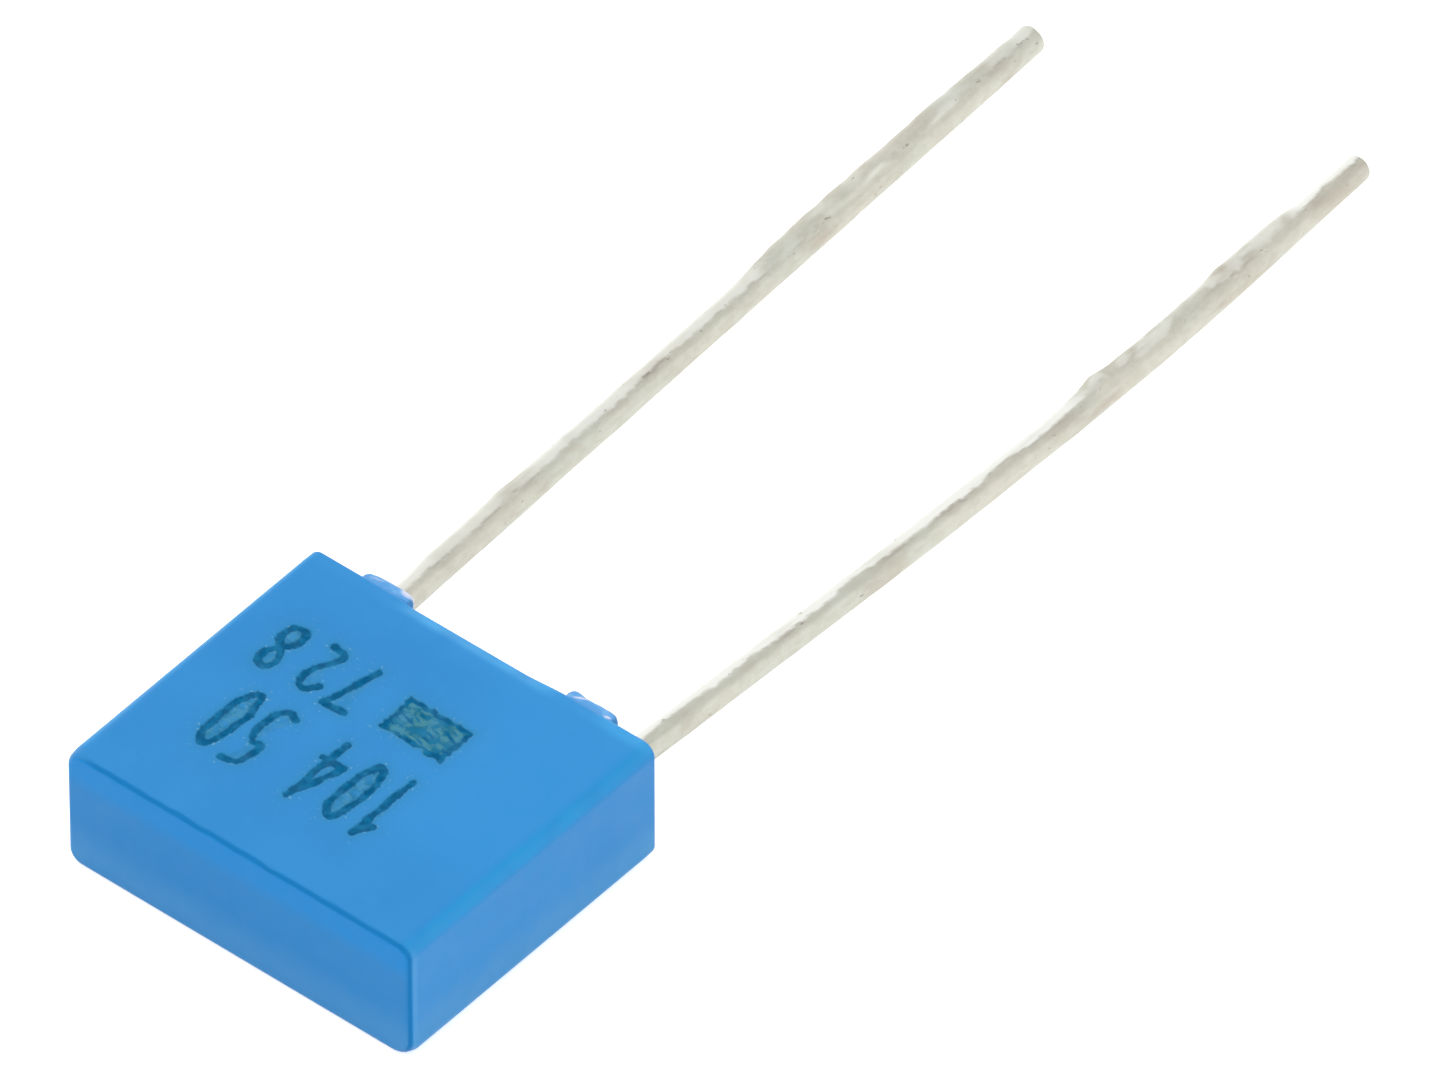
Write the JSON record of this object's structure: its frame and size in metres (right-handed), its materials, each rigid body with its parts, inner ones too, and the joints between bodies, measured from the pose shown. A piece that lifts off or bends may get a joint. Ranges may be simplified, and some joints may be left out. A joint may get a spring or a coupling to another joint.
{
  "type": "film capacitor",
  "caption": "Small blue box film capacitor: a potted case on one side of two long straight wire leads, for through-hole boards.",
  "frame": {"origin": "centre of the broad face that the case lies on; the case without its pads is centred on it along X and Y", "axes": "+Y from the closed end towards the lead tips, +X along the case, +Z through its thickness, away from the face that it lies on"},
  "size_m": [0.0074, 0.0253, 0.0025],
  "materials": {
    "case_plastic": "satin gloss, smooth moulded",
    "cast_resin": "glossy cast surface",
    "metallised_film": "fine layered",
    "sprayed_metal": "dull, grainy sprayed zinc",
    "tinned_wire": "satin tinned"
  },
  "bodies": {
    "root": {"case": "case_plastic", "potting_resin": "cast_resin", "film_stack": "metallised_film", "metal_spray_left": "sprayed_metal", "metal_spray_right": "sprayed_metal", "lead_left": "tinned_wire", "lead_right": "tinned_wire"}
  },
  "joints": []
}
